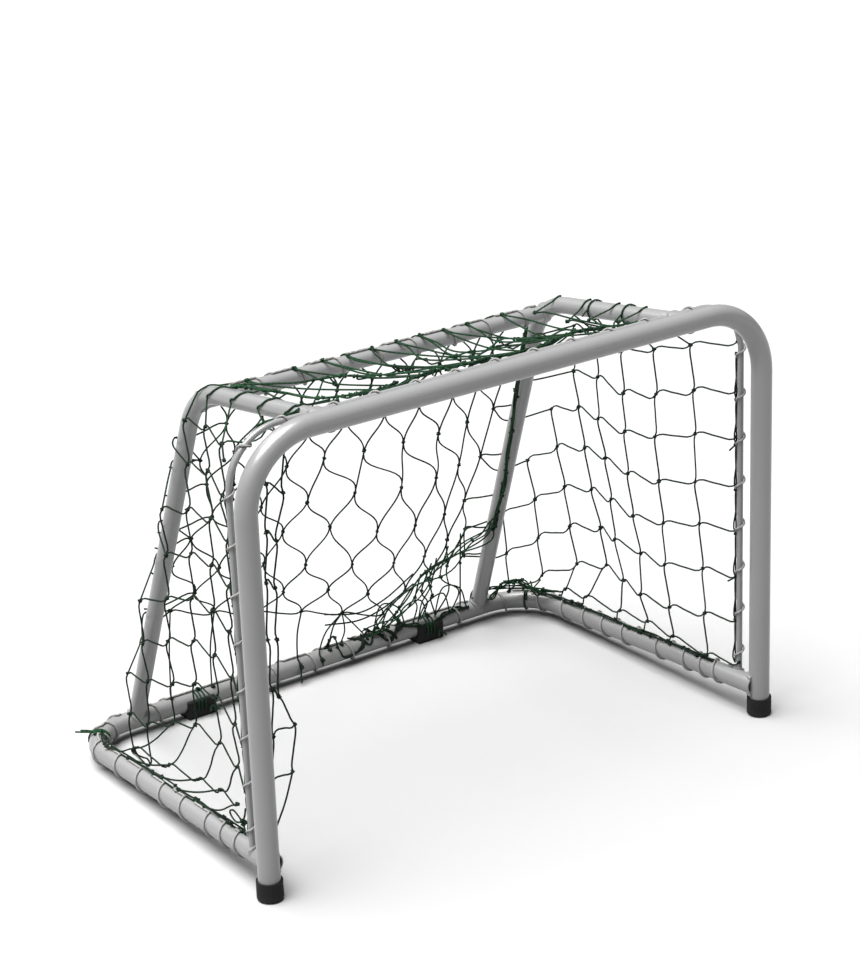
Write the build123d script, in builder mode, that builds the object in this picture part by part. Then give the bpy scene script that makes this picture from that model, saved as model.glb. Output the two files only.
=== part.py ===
from build123d import *
import os
from math import cos, radians, sin, tan

# A small street-hockey and floorball goal: a welded frame of bent steel tubes with a knotted net laced onto it.
# Millimetres. +Z is up, the goal opens towards -Y, and the origin is on the floor under the middle of the goal.

os.makedirs("parts", exist_ok=True)

# Driving dimensions
goal_width = 820.0
goal_height = 600.0
frame_depth = 500.0  # post centre to rear tube centre
post_diameter = 28.0
base_diameter = 26.0
upright_diameter = 23.0
top_bar_diameter = 22.0
rod_diameter = 8.0
tube_wall = 1.5
bead = 3.0  # how far a weld stands out over each of its two tubes

# Front arch: two posts and the crossbar, one bent tube
arch_corner_radius = 92.0
post_x = (goal_width - post_diameter) / 2
arch_y = -frame_depth / 2
crossbar_z = goal_height - post_diameter / 2
cap_floor = 6.0

# Base loop: leaves the posts just above their caps and comes down to the rear pads
base_joint_z = 44.0
pad_drop = 8.0  # the rubber below the rear tube
base_front_x = 388.0
base_rear_x = 380.0
base_corner_radius = 76.0
rear_y = frame_depth / 2
rear_z = pad_drop + base_diameter / 2

# Rear uprights: from the rear tube, leaning forwards, then bent over to the crossbar
upright_foot_x = 291.0
upright_top_x = 274.0
upright_bend_y = arch_y + 307.0
upright_bend_z = 541.0
upright_bend_radius = 92.0
upright_end_z = crossbar_z - 1.5

# Rod that carries the front edge of the net, just behind the arch
rod_x = 394.0
rod_y = arch_y + 38.0
rod_z = 584.0
rod_corner_radius = 72.0

# Rubber parts
cap_height = 26.0
cap_radius = 16.8
cap_flare = 0.2
cap_edge_radius = 4.0
pad_x = 195.0
pad_length = 44.0
pad_width = 33.0
pad_top = 27.0
pad_edge_radius = 1.5

# Net: thin panels, clear of the tubes and of the laces that hold them
net_thickness = 1.0
mesh_bar = 62.0  # from knot to knot
net_front_y = rod_y + 9
side_edge_low = 64.0
side_edge_high = rod_z - rod_corner_radius - 6
side_rear_low = (350.0, rear_y - 38, 46.0)
side_rear_high = (upright_top_x + 15, upright_bend_y - 10, upright_bend_z - 8)
top_half_width = upright_top_x - upright_diameter / 2 - 4
top_rear_y = upright_bend_y - 24
back_low_z = 46.0
back_high_z = upright_bend_z + 6
back_low_half = 335.0
back_high_half = upright_top_x + 8

# Laces: each runs along its tube beside the net and goes round the tube at every wrap
lace_diameter = 3.0
lace_gap = 0.25
lace_turn = 26.0  # length of tube that one wrap takes
lace_end = 6.0  # straight end beside the first and last wrap
sides_of_a_wrap = 8
# Where the wraps lie on the base, as distances along its tube from the post
left_base_wraps = [66, 100, 138, 200, 253, 312, 370, 428, 478, 516]
right_base_wraps = [64, 92, 126, 183, 257, 302, 344, 393, 448, 510]
lowest_rod_wrap = 38.0

LEFT, RIGHT = -1, 1
SIDES = ((LEFT, "left"), (RIGHT, "right"))
UP = Vector(0, 0, 1)
BACK = Vector(0, 1, 0)


def save(builder, name):
    builder.part.label = name
    export_step(builder.part, f"parts/{name}.step")


def bent(points, radii):
    """The centreline through these points, with its corners rounded."""
    with BuildLine() as line:
        FilletPolyline(*points, radius=radii)
    return line.wire()


def rod_along(path, radius):
    """A solid round rod along a centreline."""
    with BuildPart() as rod:
        with BuildSketch(Plane(origin=path @ 0, z_dir=path % 0)):
            Circle(radius)
        sweep(path=path)
    return rod.part


def tube_along(path, diameter):
    """A hollow tube along a centreline."""
    with BuildPart() as tube:
        with BuildSketch(Plane(origin=path @ 0, z_dir=path % 0)):
            Circle(diameter / 2)
            Circle(diameter / 2 - tube_wall, mode=Mode.SUBTRACT)
        sweep(path=path)
    return tube.part


def weld_between(path_a, radius_a, path_b, radius_b):
    """The bead in the corner between two round tubes, following the line where they meet."""
    with BuildPart() as weld:
        add(rod_along(path_a, radius_a + bead))
        add(rod_along(path_b, radius_b + bead), mode=Mode.INTERSECT)
        add(rod_along(path_a, radius_a), mode=Mode.SUBTRACT)
        add(rod_along(path_b, radius_b), mode=Mode.SUBTRACT)
    return weld.part


def flat_panel(corners):
    """A thin flat sheet of net with these corners."""
    first, second, third = (Vector(*corner) for corner in corners[:3])
    plane = Plane(origin=first, x_dir=second - first, z_dir=(second - first).cross(third - first))
    flat = [plane.to_local_coords(Vector(*corner)) for corner in corners]
    with BuildPart() as panel:
        with BuildSketch(plane):
            Polygon(*[(point.X, point.Y) for point in flat], align=None)
        extrude(amount=net_thickness / 2, both=True)
    return panel.part


def twisted_panel(front_low, front_high, rear_low, rear_high):
    """A thin sheet of net between two straight edges that aren't parallel."""
    with BuildPart() as panel:
        for low, high in ((front_low, front_high), (rear_low, rear_high)):
            along = Vector(*high) - Vector(*low)
            middle = (Vector(*high) + Vector(*low)) / 2
            with BuildSketch(Plane(origin=middle, x_dir=along, z_dir=along.cross(Vector(1, 0, 0)))):
                Rectangle(along.length, net_thickness)
        loft(ruled=True)
    return panel.part


def wrap_points(path, tube_radius, wraps, towards):
    """Points of a lace that runs along a tube on the side of the net and goes once round it at each wrap."""
    reach = (tube_radius + lace_diameter / 2 + lace_gap) / cos(radians(180 / sides_of_a_wrap))

    def point(distance, turned):
        middle = path.position_at(distance, position_mode=PositionMode.LENGTH)
        along = path.tangent_at(distance, position_mode=PositionMode.LENGTH)
        up = (towards - along * towards.dot(along)).normalized()
        across = along.cross(up)
        return middle + (up * cos(radians(turned)) + across * sin(radians(turned))) * reach

    points = [point(wraps[0] - lace_turn / 2 - lace_end, 0)]
    for wrap in wraps:
        for step in range(sides_of_a_wrap + 1):
            share = step / sides_of_a_wrap
            points.append(point(wrap + lace_turn * (share - 0.5), 360 * share))
    points.append(point(wraps[-1] + lace_turn / 2 + lace_end, 0))
    return points


def corner_radii(points):
    """For each corner of a route, the largest arc that its two runs leave room for."""
    radii = []
    for before, corner, after in zip(points, points[1:], points[2:]):
        arriving, leaving = corner - before, after - corner
        half_turn = radians(arriving.get_angle(leaving)) / 2
        radii.append(0.45 * min(arriving.length, leaving.length) / tan(half_turn))
    return radii


def lace_along(path, tube_radius, wraps, towards):
    points = wrap_points(path, tube_radius, wraps, towards)
    return rod_along(bent(points, corner_radii(points)), lace_diameter / 2)


def evenly(first, last):
    """Wrap places from first to last, as near to a mesh apart as fits."""
    count = round((last - first) / mesh_bar)
    return [first + (last - first) * place / count for place in range(count + 1)]


def upright_line(side):
    """Centreline of a rear upright and the top side tube that it turns into."""
    return bent(
        [
            (side * upright_foot_x, rear_y, rear_z),
            (side * upright_top_x, upright_bend_y, upright_bend_z),
            (side * upright_top_x, arch_y, upright_end_z),
        ],
        upright_bend_radius,
    )


def top_z(y):
    """Height of the middle of the top side tubes."""
    slope = (upright_end_z - upright_bend_z) / (upright_bend_y - arch_y)
    return upright_end_z - slope * (y - arch_y)


def back_y(z):
    """How far back the net's back panel is, just behind the rear uprights."""
    lean = (rear_y - upright_bend_y) / (upright_bend_z - rear_z)
    return rear_y - lean * (z - rear_z) + upright_diameter / 2 + 3


# Centrelines of the frame
arch_path = bent(
    [
        (-post_x, arch_y, cap_floor),
        (-post_x, arch_y, crossbar_z),
        (post_x, arch_y, crossbar_z),
        (post_x, arch_y, cap_floor),
    ],
    arch_corner_radius,
)
base_path = bent(
    [
        (-base_front_x, arch_y, base_joint_z),
        (-base_rear_x, rear_y, rear_z),
        (base_rear_x, rear_y, rear_z),
        (base_front_x, arch_y, base_joint_z),
    ],
    base_corner_radius,
)
upright_path = {side: upright_line(side) for side, _ in SIDES}
bend_middle = upright_path[RIGHT].edges().filter_by(GeomType.CIRCLE)[0] @ 0.5
with BuildLine() as top_bar_line:
    Line((-upright_top_x, bend_middle.Y, bend_middle.Z), (upright_top_x, bend_middle.Y, bend_middle.Z))
top_bar_path = top_bar_line.wire()
rod_path = bent(
    [
        (-rod_x, rod_y, base_joint_z),
        (-rod_x, rod_y, rod_z),
        (rod_x, rod_y, rod_z),
        (rod_x, rod_y, base_joint_z),
    ],
    rod_corner_radius,
)

# Frame tubes
with BuildPart() as front_arch:
    add(tube_along(arch_path, post_diameter))
save(front_arch, "front_arch")

with BuildPart() as base_loop:
    add(tube_along(base_path, base_diameter))
    add(rod_along(arch_path, post_diameter / 2), mode=Mode.SUBTRACT)
save(base_loop, "base_loop")

for side, name in SIDES:
    with BuildPart() as rear_upright:
        add(tube_along(upright_path[side], upright_diameter))
        add(rod_along(base_path, base_diameter / 2), mode=Mode.SUBTRACT)
        add(rod_along(arch_path, post_diameter / 2), mode=Mode.SUBTRACT)
    save(rear_upright, f"rear_upright_{name}")

with BuildPart() as top_rear_bar:
    add(tube_along(top_bar_path, top_bar_diameter))
    for side, _ in SIDES:
        add(rod_along(upright_path[side], upright_diameter / 2), mode=Mode.SUBTRACT)
save(top_rear_bar, "top_rear_bar")

# Net rod: one piece up each side and round its corner to the top tube, and one between the top tubes
with BuildPart() as whole_rod:
    add(rod_along(rod_path, rod_diameter / 2))
    add(rod_along(base_path, base_diameter / 2), mode=Mode.SUBTRACT)
    for side, _ in SIDES:
        add(rod_along(upright_path[side], upright_diameter / 2), mode=Mode.SUBTRACT)
rod_pieces = whole_rod.part.solids().filter_by(lambda piece: piece.bounding_box().size.X > rod_diameter + bead)
for piece, name in zip(rod_pieces.sort_by(Axis.X), ("net_rod_left", "net_rod_top", "net_rod_right")):
    with BuildPart() as net_rod:
        add(piece)
    save(net_rod, name)

# Welds
with BuildPart() as post_welds:
    add(weld_between(base_path, base_diameter / 2, arch_path, post_diameter / 2))
save(post_welds, "post_welds")

with BuildPart() as upright_foot_welds:
    for side, _ in SIDES:
        add(weld_between(upright_path[side], upright_diameter / 2, base_path, base_diameter / 2))
save(upright_foot_welds, "upright_foot_welds")

with BuildPart() as crossbar_welds:
    for side, _ in SIDES:
        add(weld_between(upright_path[side], upright_diameter / 2, arch_path, post_diameter / 2))
save(crossbar_welds, "crossbar_welds")

with BuildPart() as top_bar_welds:
    for side, _ in SIDES:
        add(weld_between(top_bar_path, top_bar_diameter / 2, upright_path[side], upright_diameter / 2))
save(top_bar_welds, "top_bar_welds")

with BuildPart() as rod_welds:
    for side, _ in SIDES:
        add(weld_between(rod_path, rod_diameter / 2, upright_path[side], upright_diameter / 2))
    add(weld_between(rod_path, rod_diameter / 2, base_path, base_diameter / 2))
save(rod_welds, "rod_welds")

# Rubber caps on the posts
with BuildPart() as foot_cap:
    with BuildSketch(Plane.XZ):
        with BuildLine():
            Polyline(
                (0, 0),
                (cap_radius, 0),
                (cap_radius - cap_flare, cap_height),
                (post_diameter / 2, cap_height),
                (post_diameter / 2, cap_floor),
                (0, cap_floor),
                close=True,
            )
        make_face()
    revolve(axis=Axis.Z)
    fillet(foot_cap.edges().filter_by(GeomType.CIRCLE).group_by(Axis.Z)[0], cap_edge_radius)
for side, name in SIDES:
    with BuildPart() as placed_cap:
        with Locations((side * post_x, arch_y, 0)):
            add(foot_cap.part)
    save(placed_cap, f"foot_cap_{name}")

# Rubber pads that clip up round the rear tube from below
for side, name in SIDES:
    with BuildPart() as rear_pad:
        with BuildSketch(Plane.YZ.offset(side * pad_x)):
            with Locations((rear_y, pad_top / 2)):
                RectangleRounded(pad_width, pad_top, cap_edge_radius)
        extrude(amount=pad_length / 2, both=True)
        fillet(rear_pad.edges().filter_by(Axis.Z), pad_edge_radius)
        add(rod_along(base_path, base_diameter / 2), mode=Mode.SUBTRACT)
    save(rear_pad, f"rear_pad_{name}")

# Net
for side, name in SIDES:
    shoulder = [
        (side * (rod_x - 3), net_front_y, side_edge_high + 5),
        (side * side_rear_high[0], net_front_y, top_z(net_front_y) - 2),
        (side * side_rear_high[0], side_rear_high[1] - 5, side_rear_high[2] + 5),
    ]
    with BuildPart() as net_side:
        add(
            twisted_panel(
                (side * (rod_x - 1), net_front_y, side_edge_low),
                (side * (rod_x - 1), net_front_y, side_edge_high),
                (side * side_rear_low[0], *side_rear_low[1:]),
                (side * side_rear_high[0], *side_rear_high[1:]),
            )
        )
        add(flat_panel(shoulder))
    save(net_side, f"net_side_{name}")

with BuildPart() as net_top:
    top_corners = [
        (-top_half_width, net_front_y, top_z(net_front_y)),
        (top_half_width, net_front_y, top_z(net_front_y)),
        (top_half_width, top_rear_y, top_z(top_rear_y)),
        (-top_half_width, top_rear_y, top_z(top_rear_y)),
    ]
    add(flat_panel(top_corners))
save(net_top, "net_top")

with BuildPart() as net_back:
    back_corners = [
        (-back_low_half, back_y(back_low_z), back_low_z),
        (back_low_half, back_y(back_low_z), back_low_z),
        (back_high_half, back_y(back_high_z), back_high_z),
        (-back_high_half, back_y(back_high_z), back_high_z),
    ]
    add(flat_panel(back_corners))
save(net_back, "net_back")

# Laces
base_length, rod_length, bar_length = base_path.length, rod_path.length, 2 * upright_top_x
foot_on_base = base_length / 2 - upright_foot_x
weld_clear = upright_diameter / 2 + bead + lace_turn / 2 + lace_end + lace_diameter
rear_wraps = [
    wrap
    for wrap in evenly(foot_on_base + weld_clear, base_length - foot_on_base - weld_clear)
    if abs(abs(wrap - base_length / 2) - pad_x) > (pad_length + lace_turn) / 2 + 2
]
rod_wraps = evenly(lowest_rod_wrap, rod_length / 2 - upright_top_x - weld_clear)
top_rod_wraps = evenly(
    rod_length / 2 - upright_top_x + weld_clear,
    rod_length / 2 + upright_top_x - weld_clear,
)
laces = {
    "lace_base_left": (base_path, base_diameter, left_base_wraps, UP),
    "lace_base_right": (base_path, base_diameter, [base_length - wrap for wrap in right_base_wraps[::-1]], UP),
    "lace_base_rear": (base_path, base_diameter, rear_wraps, UP),
    "lace_rod_left": (rod_path, rod_diameter, rod_wraps, BACK),
    "lace_rod_right": (rod_path, rod_diameter, [rod_length - wrap for wrap in rod_wraps[::-1]], BACK),
    "lace_rod_top": (rod_path, rod_diameter, top_rod_wraps, BACK),
    "lace_top_bar": (top_bar_path, top_bar_diameter, evenly(weld_clear, bar_length - weld_clear), UP),
}
for name, (path, diameter, wraps, towards) in laces.items():
    with BuildPart() as lace:
        add(lace_along(path, diameter / 2, wraps, towards))
    save(lace, name)
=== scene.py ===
from math import cos, pi, radians, sin

import bpy
import numpy as np
from mathutils import Matrix, Vector


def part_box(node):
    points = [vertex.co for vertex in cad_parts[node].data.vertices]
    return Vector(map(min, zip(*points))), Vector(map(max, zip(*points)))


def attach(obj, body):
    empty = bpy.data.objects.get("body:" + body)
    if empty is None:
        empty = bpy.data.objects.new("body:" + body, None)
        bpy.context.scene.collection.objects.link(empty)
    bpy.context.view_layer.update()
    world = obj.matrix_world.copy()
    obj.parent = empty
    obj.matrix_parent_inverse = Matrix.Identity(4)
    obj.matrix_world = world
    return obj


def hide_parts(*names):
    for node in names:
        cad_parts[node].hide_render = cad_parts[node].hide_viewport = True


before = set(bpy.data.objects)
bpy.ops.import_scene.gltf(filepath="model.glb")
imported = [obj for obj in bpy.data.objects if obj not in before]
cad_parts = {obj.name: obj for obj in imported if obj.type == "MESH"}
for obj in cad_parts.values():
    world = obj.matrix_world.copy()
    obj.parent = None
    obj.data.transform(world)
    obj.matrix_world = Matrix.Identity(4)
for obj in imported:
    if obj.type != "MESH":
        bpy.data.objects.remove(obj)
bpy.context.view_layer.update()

# A small street-hockey and floorball goal: looks for its welded tube frame, and the knotted net laced to it.
# Metres. +Z is up, the goal opens towards -Y, and the origin is on the floor under the middle of the goal.

rng = np.random.default_rng(7)
LEFT, RIGHT = -1, 1
UP = np.array((0.0, 0.0, 1.0))


def corner(node, side):
    """Lowest (0) or highest (1) corner of a CAD node."""
    return np.array(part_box(node)[side])


# Sizes taken from the frame
post_r = 0.014
base_r = 0.013
upright_r = 0.0115
bar_r = 0.011
rod_r = 0.004
arch_y = corner("front_arch", 1)[1] - post_r
base_rear_y = corner("base_loop", 1)[1] - base_r
base_rear_z = corner("base_loop", 0)[2] + base_r
base_front_z = 0.044
base_front_x, base_rear_x, base_corner = 0.388, 0.380, 0.076
foot_x, top_x = 0.291, 0.274
bend_y, bend_z, bend_radius, upright_end_z = 0.057, 0.541, 0.092, 0.5845
rod_x = corner("net_rod_right", 1)[0] - rod_r
rod_y = corner("net_rod_right", 1)[1] - rod_r
rod_z, rod_corner = 0.584, 0.072
bar_y = (corner("top_rear_bar", 0)[1] + corner("top_rear_bar", 1)[1]) / 2
bar_z = (corner("top_rear_bar", 0)[2] + corner("top_rear_bar", 1)[2]) / 2
pad_x = 0.195

# Net and lace
net_r = 0.0012
net_pitch = 0.007
lace_r = 0.0015
lace_pitch = 0.009
knot_size = 1.0
knot_reach = 0.0048  # from a knot's middle to its farthest point, with room to clear the floor


# --- camera, light and floor ---


def look(place, aim, roll):
    """Camera matrix at a place, aimed at a point, with its right-hand side dipped by roll."""
    forward = (Vector(aim) - Vector(place)).normalized()
    level = forward.cross(Vector((0, 0, 1))).normalized()
    right = level * cos(roll) + level.cross(forward) * sin(roll)
    upward = right.cross(forward)
    turn = Matrix((right, upward, -forward)).transposed().to_4x4()
    return Matrix.Translation(place) @ turn


def add_camera():
    data = bpy.data.cameras.new("camera")
    data.lens = 102.55
    data.sensor_width = 36.0
    data.clip_start, data.clip_end = 0.05, 50.0
    camera = bpy.data.objects.new("camera", data)
    camera.matrix_world = look((-1.8948, -2.7506, 1.6473), (0.0387, 0.0, 0.3590), radians(-2.2))
    bpy.context.scene.collection.objects.link(camera)
    bpy.context.scene.camera = camera


def add_area_light(name, place, aim, size, watts):
    data = bpy.data.lights.new(name, "AREA")
    data.shape = "DISK"
    data.size = size
    data.energy = watts
    light = bpy.data.objects.new(name, data)
    light.matrix_world = look(place, aim, 0.0)
    bpy.context.scene.collection.objects.link(light)


def add_sun(name, source, strength, softness):
    data = bpy.data.lights.new(name, "SUN")
    data.energy = strength
    data.angle = radians(softness)
    light = bpy.data.objects.new(name, data)
    light.matrix_world = look(source, (0, 0, 0), 0.0)
    bpy.context.scene.collection.objects.link(light)


def add_world(colour, strength):
    world = bpy.data.worlds.new("soft_room")
    bpy.context.scene.world = world
    world.use_nodes = True
    background = world.node_tree.nodes["Background"]
    background.inputs["Color"].default_value = (*colour, 1)
    background.inputs["Strength"].default_value = strength


# --- materials ---


class Value:
    """A socket of a material's node tree that can be used in sums."""

    def __init__(self, shader, socket):
        self.shader, self.socket = shader, socket

    def _maths(self, operation, *values):
        return self.shader.node("ShaderNodeMath", {"operation": operation}, *values)

    def __add__(self, other):
        return self._maths("ADD", self, other)

    def __sub__(self, other):
        return self._maths("SUBTRACT", self, other)

    def __mul__(self, other):
        return self._maths("MULTIPLY", self, other)

    def __rsub__(self, other):
        return self._maths("SUBTRACT", other, self)

    __radd__, __rmul__ = __add__, __mul__

    def clamped(self):
        return self.shader.node("ShaderNodeClamp", {}, self)

    def above(self, low, high):
        """0 below low, 1 above high, and smooth between."""
        settings = {"interpolation_type": "SMOOTHSTEP"}
        return self.shader.node("ShaderNodeMapRange", settings, self, low, high, 0.0, 1.0)


class Shader:
    """A material and the nodes that its surface is worked out with."""

    def __init__(self, name):
        self.material = bpy.data.materials.new(name)
        self.material.use_nodes = True
        self.tree = self.material.node_tree
        self.surface = self.tree.nodes["Principled BSDF"]

    def node(self, kind, settings, *values, output=0, **named):
        made = self.tree.nodes.new(kind)
        for key, value in settings.items():
            setattr(made, key, value)
        places = [(made.inputs[i], v) for i, v in enumerate(values) if v is not None]
        places += [(made.inputs[key.replace("_", " ")], v) for key, v in named.items()]
        for socket, value in places:
            if isinstance(value, Value):
                self.tree.links.new(value.socket, socket)
            else:
                socket.default_value = value
        return Value(self, made.outputs[output])

    def place(self):
        return self.node("ShaderNodeTexCoord", {}, output="Object")

    def attribute(self, name):
        return self.node("ShaderNodeAttribute", {"attribute_name": name}, output="Fac")

    def split(self, vector):
        made = self.node("ShaderNodeSeparateXYZ", {}, vector)
        outputs = made.socket.node.outputs
        return [Value(self, outputs[i]) for i in range(3)]

    def noise(self, place, scale, detail=2.0, rough=0.5):
        return self.node("ShaderNodeTexNoise", {}, Vector=place, Scale=scale, Detail=detail, Roughness=rough)

    def mix(self, share, colour_a, colour_b):
        made = self.node("ShaderNodeMix", {"data_type": "RGBA"}).socket.node
        share_in, a_in, b_in = (made.inputs[i] for i in (0, 6, 7))
        for socket, value in ((share_in, share), (a_in, colour_a), (b_in, colour_b)):
            if isinstance(value, Value):
                self.tree.links.new(value.socket, socket)
            elif isinstance(value, float):
                socket.default_value = value
            else:
                socket.default_value = (*value, 1)
        return Value(self, made.outputs[2])

    def bump(self, height, strength, distance):
        return self.node("ShaderNodeBump", {}, Strength=strength, Distance=distance, Height=height)

    def finish(self, **sockets):
        for key, value in sockets.items():
            socket = self.surface.inputs[key.replace("_", " ")]
            if isinstance(value, Value):
                self.tree.links.new(value.socket, socket)
            else:
                socket.default_value = (*value, 1) if isinstance(value, tuple) else value
        return self.material


def powder_coat(name, lumps=0.0):
    """Light grey powder coat: a faint orange peel, soft shade changes, scuffs and specks, and darker close to
    the floor.
    """
    s = Shader(name)
    place = s.place()
    peel = s.noise(place, 420.0, 2.0)
    broad = s.noise(place, 9.0, 3.0)
    specks = s.noise(place, 130.0, 3.0, 0.65).above(0.66, 0.74)
    handled = s.noise(place, 6.0, 1.0).above(0.45, 0.65)
    scuffs = s.noise(place, 34.0, 6.0, 0.72).above(0.60, 0.72) * handled
    # Darker within 7 cm of the floor, added to the scuffs and specks
    low = 1.0 - s.split(place)[2].above(0.0, 0.07)
    low_and_wear = (low * 0.35 + scuffs * 0.22 + specks * 0.10).clamped()
    shade = s.mix(broad, (0.195, 0.195, 0.198), (0.225, 0.225, 0.225))
    colour = s.mix(low_and_wear, shade, (0.12, 0.117, 0.11))
    height = peel * 0.4 + scuffs * 0.25
    if lumps:
        height = height + s.noise(place, 330.0, 1.0) * lumps
    return s.finish(
        Base_Color=colour,
        Roughness=0.27 + broad * 0.06 + low_and_wear * 0.3,
        Normal=s.bump(height, 0.35, 0.0006),
        Coat_Weight=0.25,
        Coat_Roughness=0.12,
        Specular_IOR_Level=0.5,
    )


def moulded_rubber():
    """Matt black rubber with a fine grain, greyer with dust near the floor and on its edges."""
    s = Shader("moulded_rubber")
    place = s.place()
    grain = s.noise(place, 1400.0, 2.0)
    cloud = s.noise(place, 60.0, 4.0, 0.6)
    dust = ((1.0 - s.split(place)[2].above(0.0, 0.012)) * 0.35 + cloud.above(0.5, 0.8) * 0.2).clamped()
    return s.finish(
        Base_Color=s.mix(dust, (0.005, 0.005, 0.0055), (0.020, 0.0195, 0.019)),
        Roughness=0.62 + cloud * 0.2,
        Normal=s.bump(grain * 0.6 + cloud * 0.4, 0.5, 0.0004),
        Specular_IOR_Level=0.25,
    )


def twisted_fibre(name, dark, light, pitch, radius):
    """Cord laid up from strands: grooves that wind along it, fine fibres, and a colour that drifts. The
    colour is painted shade, darker in the grooves and lighter on the crests of the strands.
    """
    strands = 3.0
    s = Shader(name)
    place = s.place()
    along = s.attribute("along")
    turn_sin, turn_cos = s.attribute("turn_sin"), s.attribute("turn_cos")
    turned = s.node("ShaderNodeMath", {"operation": "ARCTAN2"}, turn_sin, turn_cos)
    phase = turned * strands + along * (2 * pi / pitch)
    ridge_height_and_shade = s.node("ShaderNodeMath", {"operation": "SINE"}, phase) * 0.5 + 0.5
    fibre = s.noise(place, 2600.0, 2.0)
    drift = s.noise(place, 22.0, 3.0)
    # Painted shade: the groove height also darkens the colour in the grooves and lightens it on the crests,
    # mixed with a colour that drifts at random
    share = (ridge_height_and_shade * 0.55 + drift.above(0.35, 0.7) * 0.45).clamped()
    return s.finish(
        Base_Color=s.mix(share, dark, light),
        Roughness=0.6 + fibre * 0.15,
        Normal=s.bump(ridge_height_and_shade + fibre * 0.3, 0.7, radius * 0.3),
        Specular_IOR_Level=0.2,
    )


# --- centrelines of the tubes ---


class Route:
    """Straight runs joined by arcs, measured by length."""

    def __init__(self, points, radius):
        points = [np.array(p, float) for p in points]
        line = [points[0]]
        for before, middle, after in zip(points, points[1:], points[2:]):
            a, b = before - middle, after - middle
            a, b = a / np.linalg.norm(a), b / np.linalg.norm(b)
            half = np.arccos(np.clip(a @ b, -1, 1)) / 2
            centre = middle + (a + b) / np.linalg.norm(a + b) * radius / sin(half)
            start = middle + a * radius / np.tan(half) - centre
            end = middle + b * radius / np.tan(half) - centre
            sweep = pi - 2 * half
            for share in np.linspace(0, 1, 25):
                arc = start * sin((1 - share) * sweep) + end * sin(share * sweep)
                line.append(centre + arc / sin(sweep))
        line.append(points[-1])
        self.line = np.array(line)
        steps = np.linalg.norm(np.diff(self.line, axis=0), axis=1)
        self.far = np.concatenate(([0.0], np.cumsum(steps)))
        self.length = self.far[-1]

    def at(self, distance):
        return np.array([np.interp(distance, self.far, self.line[:, i]) for i in range(3)])

    def heading(self, distance):
        step = 0.004
        ahead = self.at(min(distance + step, self.length)) - self.at(max(distance - step, 0.0))
        return ahead / np.linalg.norm(ahead)


base_route = Route(
    [
        (-base_front_x, arch_y, base_front_z),
        (-base_rear_x, base_rear_y, base_rear_z),
        (base_rear_x, base_rear_y, base_rear_z),
        (base_front_x, arch_y, base_front_z),
    ],
    base_corner,
)
rod_route = Route(
    [
        (-rod_x, rod_y, base_front_z),
        (-rod_x, rod_y, rod_z),
        (rod_x, rod_y, rod_z),
        (rod_x, rod_y, base_front_z),
    ],
    rod_corner,
)
bar_route = Route([(-top_x, bar_y, bar_z), (top_x, bar_y, bar_z)], 0.0)


def upright_y(z):
    """How far back the middle of a rear upright is at a height."""
    return base_rear_y - (z - base_rear_z) * (base_rear_y - bend_y) / (bend_z - base_rear_z)


def upright_x(z):
    return foot_x - (z - base_rear_z) * (foot_x - top_x) / (bend_z - base_rear_z)


def top_tube_z(y):
    """Height of the middle of a top side tube."""
    return upright_end_z - (upright_end_z - bend_z) * (y - arch_y) / (bend_y - arch_y)


def upright_route(side):
    points = [
        (side * foot_x, base_rear_y, base_rear_z),
        (side * top_x, bend_y, bend_z),
        (side * top_x, arch_y, upright_end_z),
    ]
    return Route(points, bend_radius)


# --- cords ---


def tube_samples():
    """Points along every tube that the net touches, with how far off its middle a cord lies."""
    tubes = ((base_route, base_r), (rod_route, rod_r), (bar_route, bar_r))
    tubes += ((upright_route(LEFT), upright_r), (upright_route(RIGHT), upright_r))
    samples = []
    for route, radius in tubes:
        distances = np.arange(0, route.length, 0.004)
        middles = np.array([route.at(d) for d in distances])
        headings = np.array([route.heading(d) for d in distances])
        samples.append((middles, headings, radius + net_r + 0.0003))
    return samples


tubes_near = tube_samples()


def off_the_tubes(line):
    """The same line, with any point inside a tube brought out to lie on it."""
    line = np.array(line, float)
    for middles, headings, reach in tubes_near:
        nearest = np.linalg.norm(line[:, None] - middles[None], axis=2).argmin(axis=1)
        off = line - middles[nearest]
        along = (off * headings[nearest]).sum(axis=1)[:, None] * headings[nearest]
        out = off - along
        size = np.linalg.norm(out, axis=1)[:, None] + 1e-9
        inside = (size < reach) & (np.linalg.norm(along, axis=1)[:, None] < 0.005)
        line = np.where(inside, middles[nearest] + along + out / size * reach, line)
    line[:, 2] = np.maximum(line[:, 2], net_r + 0.0004)
    return line


def smooth(points, steps=6):
    """A soft line through all of these points."""
    points = [np.array(point, float) for point in points]
    p = np.array([2 * points[0] - points[1], *points, 2 * points[-1] - points[-2]])
    line = []
    for a, b, c, d in zip(p, p[1:], p[2:], p[3:]):
        for t in np.linspace(0, 1, steps, endpoint=False):
            bend = (2 * a - 5 * b + 4 * c - d) * t**2 + (3 * b - a - 3 * c + d) * t**3
            line.append(0.5 * (2 * b + (c - a) * t + bend))
    line.append(p[-2])
    return np.array(line)


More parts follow.
